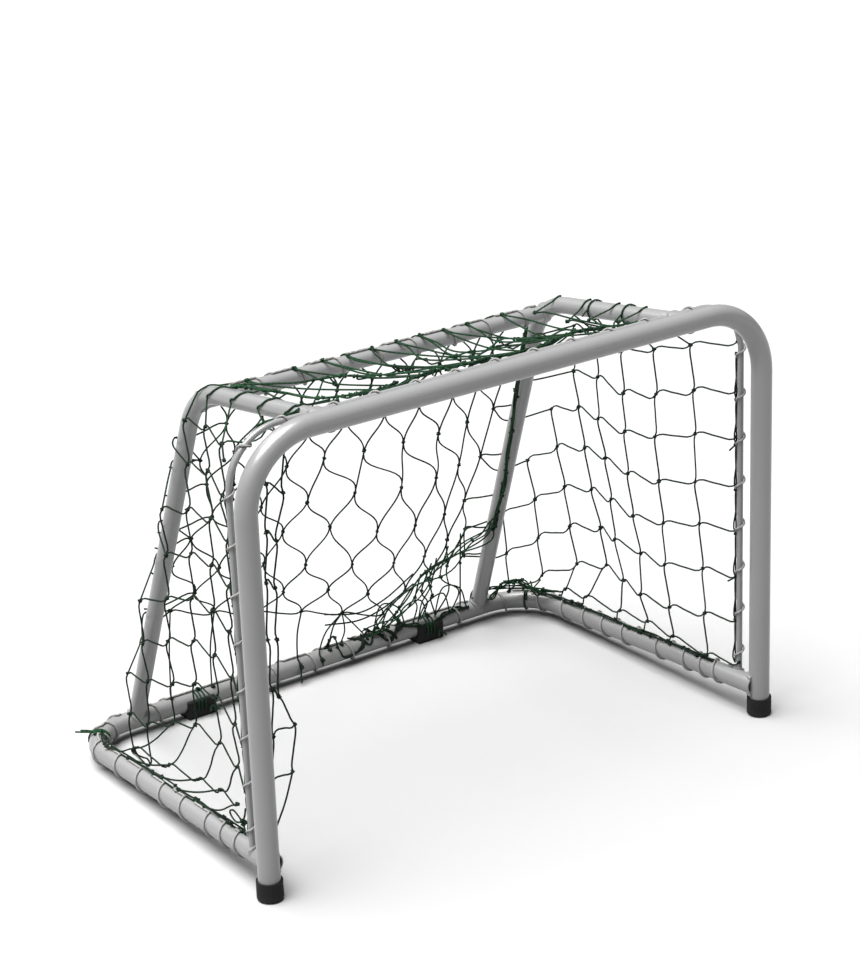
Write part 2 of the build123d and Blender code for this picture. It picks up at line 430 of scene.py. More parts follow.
class Cords:
    """Cord lines and knots that become one piece."""

    def __init__(self):
        self.lines, self.knots = [], []

    def add(self, line):
        self.lines.append(np.array(line, float))

    def knot(self, place):
        self.knots.append(np.array(place, float))

    def strand(self, a, b, sway=(0.0, 0.0, 0.0), sag=0.0, steps=9, late=0.09):
        """From knot a to knot b, swinging by sway one way and then the other, and hanging by sag."""
        a, b = np.array(a, float), np.array(b, float)
        t = np.linspace(0, 1, steps)[:, None]
        vary = rng.uniform(0.6, 1.3)
        lag = t + late * np.sin(2 * pi * t)
        swing = np.array(sway, float) * vary * np.sin(2 * pi * lag)
        self.add(a + (b - a) * t + swing - UP * sag * vary * 4 * t * (1 - t))

    def tail(self, start, direction, length, curl=0.15):
        """A short cut end that leaves a knot."""
        start, direction = np.array(start, float), np.array(direction, float)
        direction /= np.linalg.norm(direction)
        side = np.cross(direction, rng.normal(size=3))
        side /= np.linalg.norm(side)
        t = np.linspace(0, 1, 6)[:, None]
        self.add(start + direction * length * t + side * length * curl * t**2)


def sheet_bend(name):
    """One knot of the net: a small turned loop of the cord, tight on itself."""
    turns, sides = 14, 4
    u = np.arange(turns) / turns * 2 * pi
    swell = 0.0017 + 0.0008 * np.cos(3 * u)
    height = 0.0013 * np.sin(3 * u) + 0.0004 * np.cos(u)
    line = np.stack([swell * np.cos(2 * u), swell * np.sin(2 * u) * 0.8, height], 1)
    heading = np.roll(line, -1, 0) - np.roll(line, 1, 0)
    heading /= np.linalg.norm(heading, axis=1)[:, None]
    across = np.cross(heading, (0.2, 0.1, 1.0))
    across /= np.linalg.norm(across, axis=1)[:, None]
    over = np.cross(heading, across)
    verts, faces = [], []
    for i in range(turns):
        for k in range(sides):
            angle = 2 * pi * k / sides
            verts.append(line[i] + (across[i] * cos(angle) + over[i] * sin(angle)) * net_r * 1.15)
            n, m = (i + 1) % turns, (k + 1) % sides
            faces.append((i * sides + k, i * sides + m, n * sides + m, n * sides + k))
    data = bpy.data.meshes.new(name)
    data.from_pydata([tuple(v) for v in verts], [], faces)
    data.update()
    return bpy.data.objects.new(name, data)


def cord_tree():
    """Geometry Nodes tree: every line becomes a cord that knows its length and turn, every mark a knot."""
    tree = bpy.data.node_groups.new("laid_cord", "GeometryNodeTree")
    face = tree.interface
    face.new_socket("Geometry", in_out="OUTPUT", socket_type="NodeSocketGeometry")
    face.new_socket("Geometry", in_out="INPUT", socket_type="NodeSocketGeometry")
    for name, kind, value in (
        ("Radius", "NodeSocketFloat", net_r),
        ("Sides", "NodeSocketInt", 6),
        ("Knot", "NodeSocketObject", None),
        ("Knot Size", "NodeSocketFloat", 1.0),
        ("Seed", "NodeSocketInt", 3),
        ("Material", "NodeSocketMaterial", None),
    ):
        socket = face.new_socket(name, in_out="INPUT", socket_type=kind)
        if value is not None:
            socket.default_value = value
    nodes, links = tree.nodes, tree.links

    def node(kind, settings=None, **named):
        made = nodes.new(kind)
        for key, value in (settings or {}).items():
            setattr(made, key, value)
        for key, value in named.items():
            by_place = key[0] == "i" and key[1:].isdigit()
            socket = made.inputs[int(key[1:]) if by_place else key.replace("_", " ")]
            if isinstance(value, bpy.types.NodeSocket):
                links.new(value, socket)
            else:
                socket.default_value = value
        return made

    def maths(operation, first, second=0.5):
        return node("ShaderNodeMath", {"operation": operation}, i0=first, i1=second).outputs[0]

    def store(geometry, name, value):
        settings = {"data_type": "FLOAT", "domain": "POINT"}
        made = node("GeometryNodeStoreNamedAttribute", settings)
        links.new(geometry, made.inputs["Geometry"])
        made.inputs["Name"].default_value = name
        links.new(value, made.inputs["Value"])
        return made.outputs[0]

    start = nodes.new("NodeGroupInput")
    given = start.outputs
    end = nodes.new("NodeGroupOutput")
    lines = node("GeometryNodeMeshToCurve", {}, Mesh=given["Geometry"]).outputs[0]
    spot = node("GeometryNodeSplineParameter")
    lines = store(lines, "along", spot.outputs["Length"])
    sizes = {"Resolution": given["Sides"], "Radius": given["Radius"]}
    profile = node("GeometryNodeCurvePrimitiveCircle", {"mode": "RADIUS"}, **sizes).outputs[0]
    turn = maths("DIVIDE", node("GeometryNodeInputIndex").outputs[0], given["Sides"])
    angle = maths("MULTIPLY", turn, 2 * pi)
    for name, operation in (("turn_cos", "COSINE"), ("turn_sin", "SINE")):
        profile = store(profile, name, maths(operation, angle))
    cords = node("GeometryNodeCurveToMesh", {}, Curve=lines, Profile_Curve=profile, Fill_Caps=True).outputs[0]
    marked = node("GeometryNodeInputNamedAttribute", {"data_type": "FLOAT"}, Name="knot").outputs["Attribute"]
    above = {"data_type": "FLOAT", "operation": "GREATER_THAN"}
    wanted = node("FunctionNodeCompare", above, i0=marked, i1=0.5)
    shape = node("GeometryNodeObjectInfo", {}, Object=given["Knot"]).outputs["Geometry"]
    lean = node("FunctionNodeRandomValue", {"data_type": "FLOAT_VECTOR"}, Seed=given["Seed"])
    lean.inputs[0].default_value = (-0.7, -0.7, 0.0)
    lean.inputs[1].default_value = (0.7, 0.7, 2 * pi)
    size = node("FunctionNodeRandomValue", {"data_type": "FLOAT"}, Seed=given["Seed"])
    size.inputs[2].default_value = 0.85
    size.inputs[3].default_value = 1.15
    scale = maths("MULTIPLY", size.outputs[1], given["Knot Size"])
    knots = node(
        "GeometryNodeInstanceOnPoints",
        {},
        Points=given["Geometry"],
        Selection=wanted.outputs[0],
        Instance=shape,
        Rotation=lean.outputs[0],
        Scale=scale,
    ).outputs[0]
    joined = node("GeometryNodeJoinGeometry")
    links.new(cords, joined.inputs[0])
    links.new(knots, joined.inputs[0])
    real = node("GeometryNodeRealizeInstances", {}, Geometry=joined.outputs[0]).outputs[0]
    soft = node("GeometryNodeSetShadeSmooth", {}, Geometry=real).outputs[0]
    done = node("GeometryNodeSetMaterial", {}, Geometry=soft, Material=given["Material"]).outputs[0]
    links.new(done, end.inputs[0])
    return tree


def make_cords(name, cords, tree, material, radius, sides, seed, knot_shape, replaced=()):
    """Turns lines and knots into one mesh piece that rides on the frame."""
    verts, edges = [], []
    for line in cords.lines:
        if knot_shape:
            line = off_the_tubes(line)
        first = len(verts)
        verts += [tuple(p) for p in line]
        edges += [(first + i, first + i + 1) for i in range(len(line) - 1)]
    marks = [0.0] * len(verts) + [1.0] * len(cords.knots)
    verts += [(p[0], p[1], max(p[2], knot_reach)) for p in cords.knots]
    data = bpy.data.meshes.new(name + "_lines")
    data.from_pydata(verts, edges, [])
    data.attributes.new("knot", "FLOAT", "POINT").data.foreach_set("value", marks)
    piece = bpy.data.objects.new(name, data)
    bpy.context.scene.collection.objects.link(piece)
    modifier = piece.modifiers.new("cord", "NODES")
    modifier.node_group = tree
    wanted = {
        "Radius": radius,
        "Sides": sides,
        "Knot": knot_shape,
        "Knot Size": knot_size,
        "Seed": seed,
        "Material": material,
    }
    for item in tree.interface.items_tree:
        if item.in_out == "INPUT" and item.name in wanted:
            modifier[item.identifier] = wanted[item.name]
    graph = bpy.context.evaluated_depsgraph_get()
    graph.update()
    made = bpy.data.meshes.new_from_object(piece.evaluated_get(graph))
    piece.modifiers.remove(modifier)
    piece.data = made
    if not made.materials:
        made.materials.append(material)
    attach(piece, "root")
    if replaced:
        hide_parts(*replaced)
    return piece


# --- laces ---


def lace_line(route, tube_r, wraps, towards):
    """A lace beside a tube that goes once round it at each wrap."""
    turn_length, end = 0.026, 0.006
    reach = tube_r + lace_r + 0.0003
    line = []

    def point(distance, turned):
        along = route.heading(distance)
        up = towards - along * (towards @ along)
        up /= np.linalg.norm(up)
        across = np.cross(along, up)
        return route.at(distance) + (up * cos(turned) + across * sin(turned)) * reach

    line.append(point(wraps[0] - turn_length / 2 - end, 0.0))
    for wrap, following in zip(wraps, [*wraps[1:], None]):
        for share in np.linspace(0, 1, 22):
            turned = 2 * pi * (share - sin(2 * pi * share) / 18)  # slower on top, quicker underneath
            line.append(point(wrap + turn_length * (share - 0.5), turned))
        if following is not None:
            gap_start, gap_end = wrap + turn_length / 2, following - turn_length / 2
            if gap_end - gap_start > 0.008:
                for share in np.linspace(0, 1, 6)[1:-1]:
                    line.append(point(gap_start + (gap_end - gap_start) * share, 0.0))
    line.append(point(wraps[-1] + turn_length / 2 + end, 0.0))
    return line


def evenly(first, last, apart=0.062):
    count = round((last - first) / apart)
    return [first + (last - first) * place / count for place in range(count + 1)]


def all_laces():
    """Name, route, tube radius, wraps and side of every lace."""
    left = np.array([66, 100, 138, 200, 253, 312, 370, 428, 478, 516]) / 1000
    right = np.array([64, 92, 126, 183, 257, 302, 344, 393, 448, 510]) / 1000
    half = base_route.length / 2
    clear = upright_r + 0.003 + 0.013 + 0.006 + 0.003
    foot = half - foot_x
    rear = [w for w in evenly(foot + clear, 2 * half - foot - clear) if abs(abs(w - half) - pad_x) > 0.037]
    rod_half = rod_route.length / 2
    rod = evenly(0.038, rod_half - top_x - clear)
    rod_top = evenly(rod_half - top_x + clear, rod_half + top_x - clear)
    back = np.array((0.0, 1.0, 0.0))
    return (
        ("lace_base_left", base_route, base_r, list(left), UP),
        ("lace_base_right", base_route, base_r, list((2 * half - right)[::-1]), UP),
        ("lace_base_rear", base_route, base_r, rear, UP),
        ("lace_rod_left", rod_route, rod_r, rod, back),
        ("lace_rod_right", rod_route, rod_r, [2 * rod_half - w for w in rod[::-1]], back),
        ("lace_rod_top", rod_route, rod_r, rod_top, back),
        ("lace_top_bar", bar_route, bar_r, evenly(clear, bar_route.length - clear), UP),
    )


# --- net ---


def jitter(size=0.0018):
    return rng.normal(size=3) * size


def side_knot(side, c, r):
    """Knot of a side net: column c back from the rod, row r up from the base.

    Each column has its own distance out and back. The rear columns drop, as the net sags towards the corner.
    """
    if side == RIGHT:
        x = (0.394, 0.372, 0.355, 0.350, 0.358, 0.367, 0.362, 0.348, 0.331)[c]
        y = (-0.206, -0.150, -0.094, -0.033, 0.028, 0.084, 0.141, 0.190, 0.232)[c]
        pitch = (0.0665, 0.065, 0.0625, 0.0605, 0.0612, 0.0605, 0.0605, 0.061, 0.061)[c]
        drop = (0, 0, 0, 0, 0, 0, 0.014, 0.044, 0.078)[c]
        lean = (0, 0.0048, 0.0064, 0.0085, 0.0115, 0.0135, 0.013, 0.009, 0.003)[c] * max(4 - r, -1.6)
        return np.array((x, y - lean, 0.057 + r * pitch - drop + 0.34 * lean))
    x = -(0.394, 0.362, 0.336, 0.332, 0.334, 0.337, 0.328)[c]
    y = (-0.206, -0.140, -0.060, 0.0, 0.060, 0.121, 0.184)[c] + (4 - r) * 0.0035 * min(c, 2) / 2
    drop = (-0.004, 0.0, 0.004, 0.010, 0.030, 0.050, 0.062)[c]
    drawn_in = 0.018 * max(r - 6, 0) if c else 0.0  # the top rows hang close under the tube
    return np.array((x + drawn_in, y + 1.676 * drawn_in, 0.061 + r * 0.061 - drop - 0.708 * drawn_in))


def wrap_side_tube(cords, side, a, y, b):
    """A net loop that hangs from the top side tube at y down to knot a, and goes on inside to b."""
    middle = np.array((side * top_x, y, top_tube_z(y)))
    reach = upright_r + net_r + 0.0004
    over = [middle + np.array((side * cos(t), 0, sin(t))) * reach for t in np.radians((-5, 30, 65, 100))]
    for i, p in enumerate(over):
        p[1] -= 0.006 * i
    cords.add(smooth([a, *over, b], 6))


def side_net(side):
    cords = Cords()
    columns, rows = (9, 8) if side == RIGHT else (7, 9)
    knots = {}
    for c in range(columns):
        for r in range(rows):
            place = side_knot(side, c, r)
            if side == RIGHT:
                wanted = place[1] < upright_y(place[2]) + 0.035 and place[2] < (0.545 if c < 3 else 0.56)
            else:
                wanted = c <= 3 + (8 - r) // 2
            if wanted:
                if r > 0 and c > 0:
                    place = place + jitter()
                knots[c, r] = place
    # The bottom knots lie beside the base tube, and the border's own knots (row -1) on top of it
    if side == RIGHT:
        for c, y in enumerate((-0.163, -0.092, -0.037, 0.024, 0.101, 0.150), 1):
            knots[c, 0] = np.array((0.378, y, 0.070 - 0.004 * abs(c - 3)))
            knots[c, -1] = np.array((0.383, y + 0.018, 0.057 - 0.0028 * c))
        knots[0, 0] = np.array((0.390, -0.216, 0.066))
        for c in (7, 8):
            knots.pop((c, 0), None)
    if side == LEFT:
        for c, x in enumerate((-0.390, -0.372, -0.362, -0.363, -0.373)):
            knots[c, 0] = np.array((x, -0.176 + 0.071 * c, (0.096, 0.081, 0.064, 0.057, 0.057)[c]))
        for c in range(6):
            knots[c, -1] = np.array((-0.386 + 0.001 * c, -0.150 + 0.065 * c, 0.0575 - 0.0029 * c))
        knots[5, -1] = knots[5, -1] + (-0.004, -0.012, 0.0)
    lowest = min(r for _, r in knots)
    for (c, r), place in knots.items():
        cords.knot(place)
        if (c + 1, r) in knots and r > lowest:
            cords.strand(knots[c + 1, r], place, (0, 0, 0.0048), 0.001, 11)
        slanted = side == LEFT and r == 0  # on the left the border's knots lie half a mesh further back
        below = (c + 1, r - 1) if slanted else (c, r - 1)
        if below in knots and (c > 0 or slanted):
            droop = {0: 0.006, 1: 0.010}.get(r, 0.0) if side == LEFT else 0.0
            cords.strand(place, knots[below], (side * 0.001, 0.0035, 0), droop)
    return cords, knots


def back_y(z, x=0.0):
    """How far back the rear net hangs, a little behind the uprights, lowest in the middle."""
    return upright_y(z) + upright_r + 0.006 + 0.010 * (1 - (x / 0.29) ** 2)


def back_knot(v, r):
    """Knot of the rear net: v half meshes along it, row r down from the top bar.

    Further down, the rows sink and slope towards the right, where the net is drawn together.
    """
    middle = (-0.030, -0.030, -0.030, -0.027, -0.003, 0.008, 0.016, 0.021, 0.020)[r]
    x = middle + (0.0275, 0.0285, 0.030, 0.032, 0.0395, 0.0405, 0.039, 0.0385, 0.038)[r] * v
    squeeze = 0.35 if r < 4 else 0.2  # the meshes close up towards the seam at the right upright
    if x > 0.1:
        x = 0.1 + squeeze * (1 - np.exp((0.1 - x) / squeeze))
    level = (0.520, 0.470, 0.418, 0.364, 0.294, 0.237, 0.182, 0.131, 0.095)[r]
    slope = (0, 0, 0.03, 0.07, 0.15, 0.28, 0.30, 0.33, 0.36)[r]
    z = level - slope * min(x, 0.14) + 2.6 * min(r / 4, 1) * max(x - 0.15, 0) ** 2
    return np.array((x, back_y(z, x), z))


def rear_net():
    """The diamond net at the back, down to its doubled bottom edge."""
    cords = Cords()
    knots = {}
    for r in range(9):
        for v in range(-13, 14):
            place = back_knot(v, r)
            within = abs(place[0]) < 0.258
            if (v + r) % 2 and within and not (r == 8 and place[0] > 0.14):
                knots[v, r] = place + jitter(0.0022)
    for (v, r), place in knots.items():
        cords.knot(place)
        for step in (-1, 1):
            other = knots.get((v + step, r + 1))
            if other is not None:
                flat = other - place
                cords.strand(place, other, (-flat[0] * 0.13, 0, 0), 0.0, 13, 0.0)
        # The outermost knot of each row is tied to the back of its upright
        for side in (LEFT, RIGHT):
            if (v + 2 * side, r) not in knots and abs(place[0]) > 0.15 and 0 < r < 8:
                z = place[2] + 0.004
                seam = (side * (upright_x(z) + 0.009), upright_y(z) + upright_r + 0.003, z)
                cords.strand(place, seam, (0, 0.002, 0.003), 0.003)
        if r == 8 and (v + 2, r) in knots:
            cords.strand(place, knots[v + 2, r], (0, 0, 0.003), 0.003)
    return cords, knots


def over_rear_bar(cords, back_knots):
    """The rear net carried up and over the rear bar, to a row of knots on its crown."""
    reach = bar_r + net_r + 0.0004

    def on_bar(x, turned):
        return np.array((x, bar_y + reach * cos(radians(turned)), bar_z + reach * sin(radians(turned))))

    row = [place for (_, r), place in back_knots.items() if r == 0]
    crown = []
    # Places of the knots along the crown of the bar
    for x in (-0.205, -0.134, -0.090, -0.053, -0.014, 0.026, 0.064, 0.102, 0.140, 0.199):
        knot = on_bar(x, 103 + rng.normal() * 7)
        crown.append(knot)
        cords.knot(knot + UP * 0.001)
        for side in (LEFT, RIGHT):
            start = min(row, key=lambda p: abs(p[0] - x - side * 0.030))
            path = [start]
            for share, turned in ((0.35, 8), (0.5, 40), (0.68, 66), (0.86, 86)):
                path.append(on_bar(start[0] + (x - start[0]) * share, turned))
            cords.add(smooth([*path, knot], 6))
    return crown


def behind_crossbar(x):
    """Middle of the drawn-together net just behind the crossbar."""
    return np.array((x, -0.176 - 0.010 * sin(x * 31), 0.5775 + 0.0015 * sin(x * 57)))


def roof_net(left_knots, right_knots, back_knots):
    """The net over the top, slack from the rear bar to where it is drawn together behind the crossbar."""
    cords = Cords()
    crown = over_rear_bar(cords, back_knots)
    middles = []
    for a in crown:
        for shift in (rng.uniform(0.035, 0.075), rng.uniform(-0.035, 0.012)):
            x = min(max(a[0] + shift, -0.22), 0.235)
            end = behind_crossbar(x) + rng.normal(size=3) * (0.004, 0.006, 0.001)
            slack = np.array((rng.normal() * 0.012, rng.normal() * 0.012, -0.012 + rng.normal() * 0.004))
            middle = (a + end) / 2 + slack
            first = a + (middle - a) * 0.3 + (rng.normal() * 0.003, 0, -0.002)
            cords.add(smooth([a, first, middle, end], 8))
            cords.knot(end)
            if rng.random() < 0.6:
                cords.knot(middle)
            if len(middles) > 2 and rng.random() < 0.65:
                cords.knot(middle)
                cords.strand(middle, middles[-2], rng.normal(size=3) * 0.006, 0.004, 11)
            middles.append(middle)
    # Down to the front of the roof, under the crossbar
    for x in np.arange(-0.20, 0.24, 0.052):
        start = behind_crossbar(x + rng.normal() * 0.008)
        end = np.array((x + rng.normal() * 0.02, -0.198, 0.5845))
        cords.strand(start, end, rng.normal(size=3) * 0.004, 0.001)
    # The side nets carried over the top side tubes, each loop to its place at the edge of the roof
    hung = [left_knots[c, 8] for c in (3, 2, 1)]
    hung += [np.array((-0.300, -0.150, 0.553)), np.array((-0.300, -0.205, 0.563))]
    meets = [(-0.272, -0.020, 0.5695), (-0.268, -0.045, 0.571), (-0.256, -0.076, 0.574)]
    meets += [(-0.246, -0.112, 0.575), (-0.222, -0.170, 0.577)]
    for knot, y, meet in zip(hung, (0.034, 0.006, -0.050, -0.112, -0.172), meets):
        wrap_side_tube(cords, LEFT, knot, y, np.array(meet))
    cords.strand(hung[2], hung[3], (0, 0, 0.004), 0.006)
    cords.strand(hung[3], hung[4], (0, 0, 0.003), 0.004)
    # On the right, the top knot of each column is carried over in the same way
    for c, y in ((4, 0.034), (3, -0.030), (2, -0.090), (1, -0.145)):
        top = max((r for (cc, r) in right_knots if cc == c), default=None)
        if top is not None:
            b = np.array((0.240, y - 0.006, top_tube_z(y) - 0.004)) + jitter(0.003)
            wrap_side_tube(cords, RIGHT, right_knots[c, top], y, b)
            cords.knot(b)
            cords.strand(b, behind_crossbar(0.19 + 0.01 * c), (0, 0.004, 0.004), 0.004)
    return cords


def round_uprights(side, side_knots, back_knots):
    """Strands that take each row of a side net round behind its upright to the rear net."""
    cords = Cords()
    for r in sorted({r for _, r in side_knots if 1 < r < 8}):
        last = max(c for c, row in side_knots if row == r)
        a = side_knots[last, r]
        rise = 0.034 if side == LEFT and r % 2 == 0 else 0.002
        z = a[2] + rise
        reach = upright_r + 0.005
        outside = np.array((side * (upright_x(z) + reach), upright_y(z) + 0.004, a[2] + rise * 0.75))
        behind = np.array((side * upright_x(z), upright_y(z) + reach, z + 0.002))
        near = min(back_knots.values(), key=lambda p: np.linalg.norm(p - behind))
        points = [a, outside, behind, near] if a[1] < upright_y(a[2]) + 0.01 else [a, behind, near]
        cords.add(smooth(points, 7))
    return cords


def gathered(line, count, spread, knots_each, seed, waves=(2, 3, 5, 7)):
    """A bunch of net cords drawn together along a line."""
    cords = Cords()
    draw = np.random.default_rng(seed)
    line = smooth(line, 7)
    t = np.linspace(0, 1, len(line))[:, None]
    for _ in range(count):
        sway = np.zeros_like(line)
        for wave in waves:
            sway += draw.normal(size=3) / wave * np.sin(pi * wave * t + draw.uniform(0, 2 * pi))
        cords.add(line + sway * spread)
        for place in draw.choice(len(line), knots_each, replace=False):
            cords.knot(line[place] + sway[place] * spread)
    return cords


def merge(*groups):
    whole = Cords()
    for group in groups:
        whole.lines += group.lines
        whole.knots += group.knots
    return whole


def front_folds():
    """The front border of each side net: cords along the rod, and slack first meshes that fold inwards."""
    cords = Cords()
    for side in (LEFT, RIGHT):
        heights = [0.061 + 0.0635 * i for i in range(8)]
        ladder = [np.array((side * (rod_x - 0.001), rod_y + 0.0075, z)) for z in heights]
        for a, b in zip(ladder, ladder[1:]):
            cords.strand(a, b, (side * 0.0015, 0.001, 0), 0)
            cords.strand(a, b, (side * -0.002, 0.0016, 0), 0)
            cords.knot(b)
            if rng.random() < 0.5:
                cords.tail(b, (-side * 0.6, 0.4, -0.5), 0.012)
    # Slack first column of the left net, folded in behind the post: its outer and inner cord, from the top
    outer_x = (0.331, 0.333, 0.337, 0.341, 0.344, 0.342, 0.345, 0.350)
    outer_z = (0.559, 0.505, 0.444, 0.381, 0.308, 0.241, 0.180, 0.120)
    inner_x = (0.304, 0.307, 0.321, 0.326, 0.328, 0.330, 0.310, 0.317)
    inner_z = (0.551, 0.486, 0.429, 0.369, 0.302, 0.227, 0.184, 0.122)
    outer = [np.array((-x, -0.195, z)) for x, z in zip(outer_x, outer_z)]
    inner = [np.array((-x, -0.190, z)) for x, z in zip(inner_x, inner_z)]
    for row in (outer, inner):
        for a, b in zip(row, row[1:]):
            cords.strand(a, b, (0.002, 0, 0), 0)
            cords.knot(b)
    for i, (a, b) in enumerate(zip(outer, inner)):
        if i in (1, 2, 3, 5, 6, 7):
            cords.strand(a, b, (0, 0, 0.004), -0.003)
    cords.add(smooth([inner[7], (-0.330, -0.190, 0.085), (-0.345, -0.190, 0.055)], 5))
    return cords


def base_borders():
    """The doubled border cord that lies loosely on top of the side tubes inside the lace, with its knots."""
    groups = []
    for side in (LEFT, RIGHT):
        for strand in range(2):
            line = []
            for distance in np.linspace(0.075, 0.470, 12):
                if side == RIGHT:
                    distance = base_route.length - distance
                across = np.cross(base_route.heading(distance), UP)
                inward = 0.006 if strand else 0.002
                line.append(base_route.at(distance) + UP * (base_r + 0.002) + across * inward)
            groups.append(gathered(line, 1, 0.0042, 7, 71 + strand + 2 * side, (5, 9, 13, 17, 23)))
    return merge(*groups)


def rear_border(back_knots):
    """Where the rear net's bottom edge is caught down to the rear tube, and the slack that lies on it."""
    cords = Cords()
    top = base_rear_z + base_r + net_r

    def on_tube(x, lean):
        reach, turned = base_r + net_r, radians(lean)
        return np.array((x, base_rear_y - reach * sin(turned), base_rear_z + reach * cos(turned)))

    edge = [place for (_, r), place in back_knots.items() if r == 8]
    caught = [(-0.030, 60), (0.006, 70), (0.024, 30), (0.046, 20), (0.088, 35), (0.112, 50)]
    caught += [(-0.17, 20), (-0.235, 10)]
    for x, lean in caught:
        start = min(edge, key=lambda p: abs(p[0] - x - rng.normal() * 0.02))
        foot = on_tube(x, lean)
        hanging = start * 0.5 + on_tube(x, 0) * 0.5 + jitter(0.004)
        cords.add(smooth([start, hanging, on_tube(x, lean * 0.4), foot], 6))
        cords.knot(foot)
    # The doubled bottom edge, whose two cords part towards their ends
    for height in (0.0, -0.020):
        line = [(0.020, 0.246, 0.088), (0.080, 0.250, 0.072), (0.125, 0.247, 0.082), (0.170, 0.238, 0.112)]
        cords.add(smooth([p + UP * height * (1 + 8 * abs(p[0] - 0.1)) / 2 for p in line], 7))
    for x, length in ((-0.030, 0.024), (0.006, 0.010), (-0.030, 0.016)):
        foot = on_tube(x, 70)
        cords.knot(foot + (0.001, -0.001, -0.002))
        cords.tail(foot, (rng.normal() * 0.2 - 0.15, -0.35, -1.0), length)
    left_loop = [(0.020, 0.250, top), (0.034, 0.244, top + 0.016), (0.040, 0.240, 0.020)]
    left_loop += [(0.075, 0.242, 0.022), (0.082, 0.248, 0.040)]
    middle_loop = [(0.060, 0.252, top + 0.004), (0.088, 0.240, 0.024), (0.110, 0.252, top + 0.003)]
    middle_loop += [(0.135, 0.238, 0.020)]
    right_loop = [(0.070, 0.240, 0.022), (0.095, 0.250, top + 0.004), (0.122, 0.239, 0.022)]
    right_loop += [(0.150, 0.250, top + 0.006)]
    lines = (left_loop, middle_loop, right_loop)
    slack = [gathered(line, 2, 0.0035, 3, 81 + i, (3, 5, 8)) for i, line in enumerate(lines)]
    hank = [(0.125, 0.2410, 0.022), (0.150, 0.2460, 0.030), (0.175, 0.2370, 0.028), (0.205, 0.2400, 0.026)]
    hank += [(0.235, 0.2460, 0.026), (0.268, 0.2420, 0.030)]
    slack.append(gathered(hank, 5, 0.0065, 3, 91, (4, 7, 11, 15)))
    return merge(cords, *slack)


def loop_round(cords, centre, along, radius, turns=1.2, pitch=0.003):
    """Turns of cord pulled tight round a tube."""
    along = np.array(along, float) / np.linalg.norm(along)
    up = UP - along * (UP @ along)
    up /= np.linalg.norm(up)
    across = np.cross(along, up)
    line = []
    for turned in np.linspace(0, 2 * pi * turns, int(20 * turns)):
        off = (up * cos(turned) + across * sin(turned)) * radius
        line.append(np.array(centre) + off + along * pitch * (turned / (2 * pi) - turns / 2))
    cords.add(line)


def ties():
    """Knots and cut ends where the net is tied to the frame."""
    cords = Cords()
    # Bow at the foot of the left post
    heart = np.array((-0.385, -0.178, 0.070))
    bow = [heart + p for p in ((0, 0.020, 0.008), (0, 0.030, 0.002), (0, 0.018, -0.006))]
    cords.add(smooth([heart, *bow, heart], 6))
    cords.add(smooth([heart, heart + (0.001, -0.004, 0.012), heart + (0, -0.008, 0.022)], 5))
    cords.add(smooth([heart, heart + (0, -0.004, -0.016), heart + (0, 0.014, -0.030)], 5))
    for offset in ((0, 0.001, 0.002), (0.002, -0.002, 0), (0, 0, -0.003)):
        cords.knot(heart + offset)
    # Rear corners
    for side in (LEFT, RIGHT):
        x, y, z = base_route.at(0.470)
        spot = np.array((side * abs(x), y, z + base_r + 0.002))
        for length, direction in ((0.030, (side * 0.8, 0.5, 0.05)), (0.024, (side * 0.7, 0.8, 0.2))):
            cords.tail(spot, direction, length)
        for _ in range(4):
            cords.knot(spot + jitter(0.002))
        distance = 0.478 if side == LEFT else base_route.length - 0.478
        loop_round(cords, base_route.at(distance), base_route.heading(distance), base_r + net_r + 0.0008)
    # Ties on the rear pads and tube
    for side in (LEFT, RIGHT):
        for shift in (-0.006, -0.001, 0.005):
            x = side * pad_x + shift
            front = base_rear_y - 0.0165 - net_r
            over = [(x, base_rear_y, base_rear_z + base_r + net_r)]
            over += [(x + 0.001, base_rear_y - 0.011, base_rear_z + base_r - 0.003)]
            over += [(x, front, base_rear_z + 0.003), (x - 0.001, front - 0.0005, 0.012)]
            cords.add(smooth(over, 4))
        cords.knot((side * pad_x + 0.002, base_rear_y - 0.002, base_rear_z + base_r + 0.003))
        for lean in (-0.5, 0.4):
            cords.tail((side * pad_x + 0.014, base_rear_y - 0.0172, 0.014), (lean, -0.5, -0.3), 0.013)
    # Ties round the top tubes
    for side, y in ((RIGHT, -0.06), (RIGHT, -0.13)):
        loop_round(cords, (side * top_x, y, top_tube_z(y)), (0, 1, 0), upright_r + net_r + 0.0005)
        cords.tail((side * (top_x - upright_r), y, top_tube_z(y) + 0.004), (-side * 0.8, 0.1, -0.5), 0.014)
    return cords


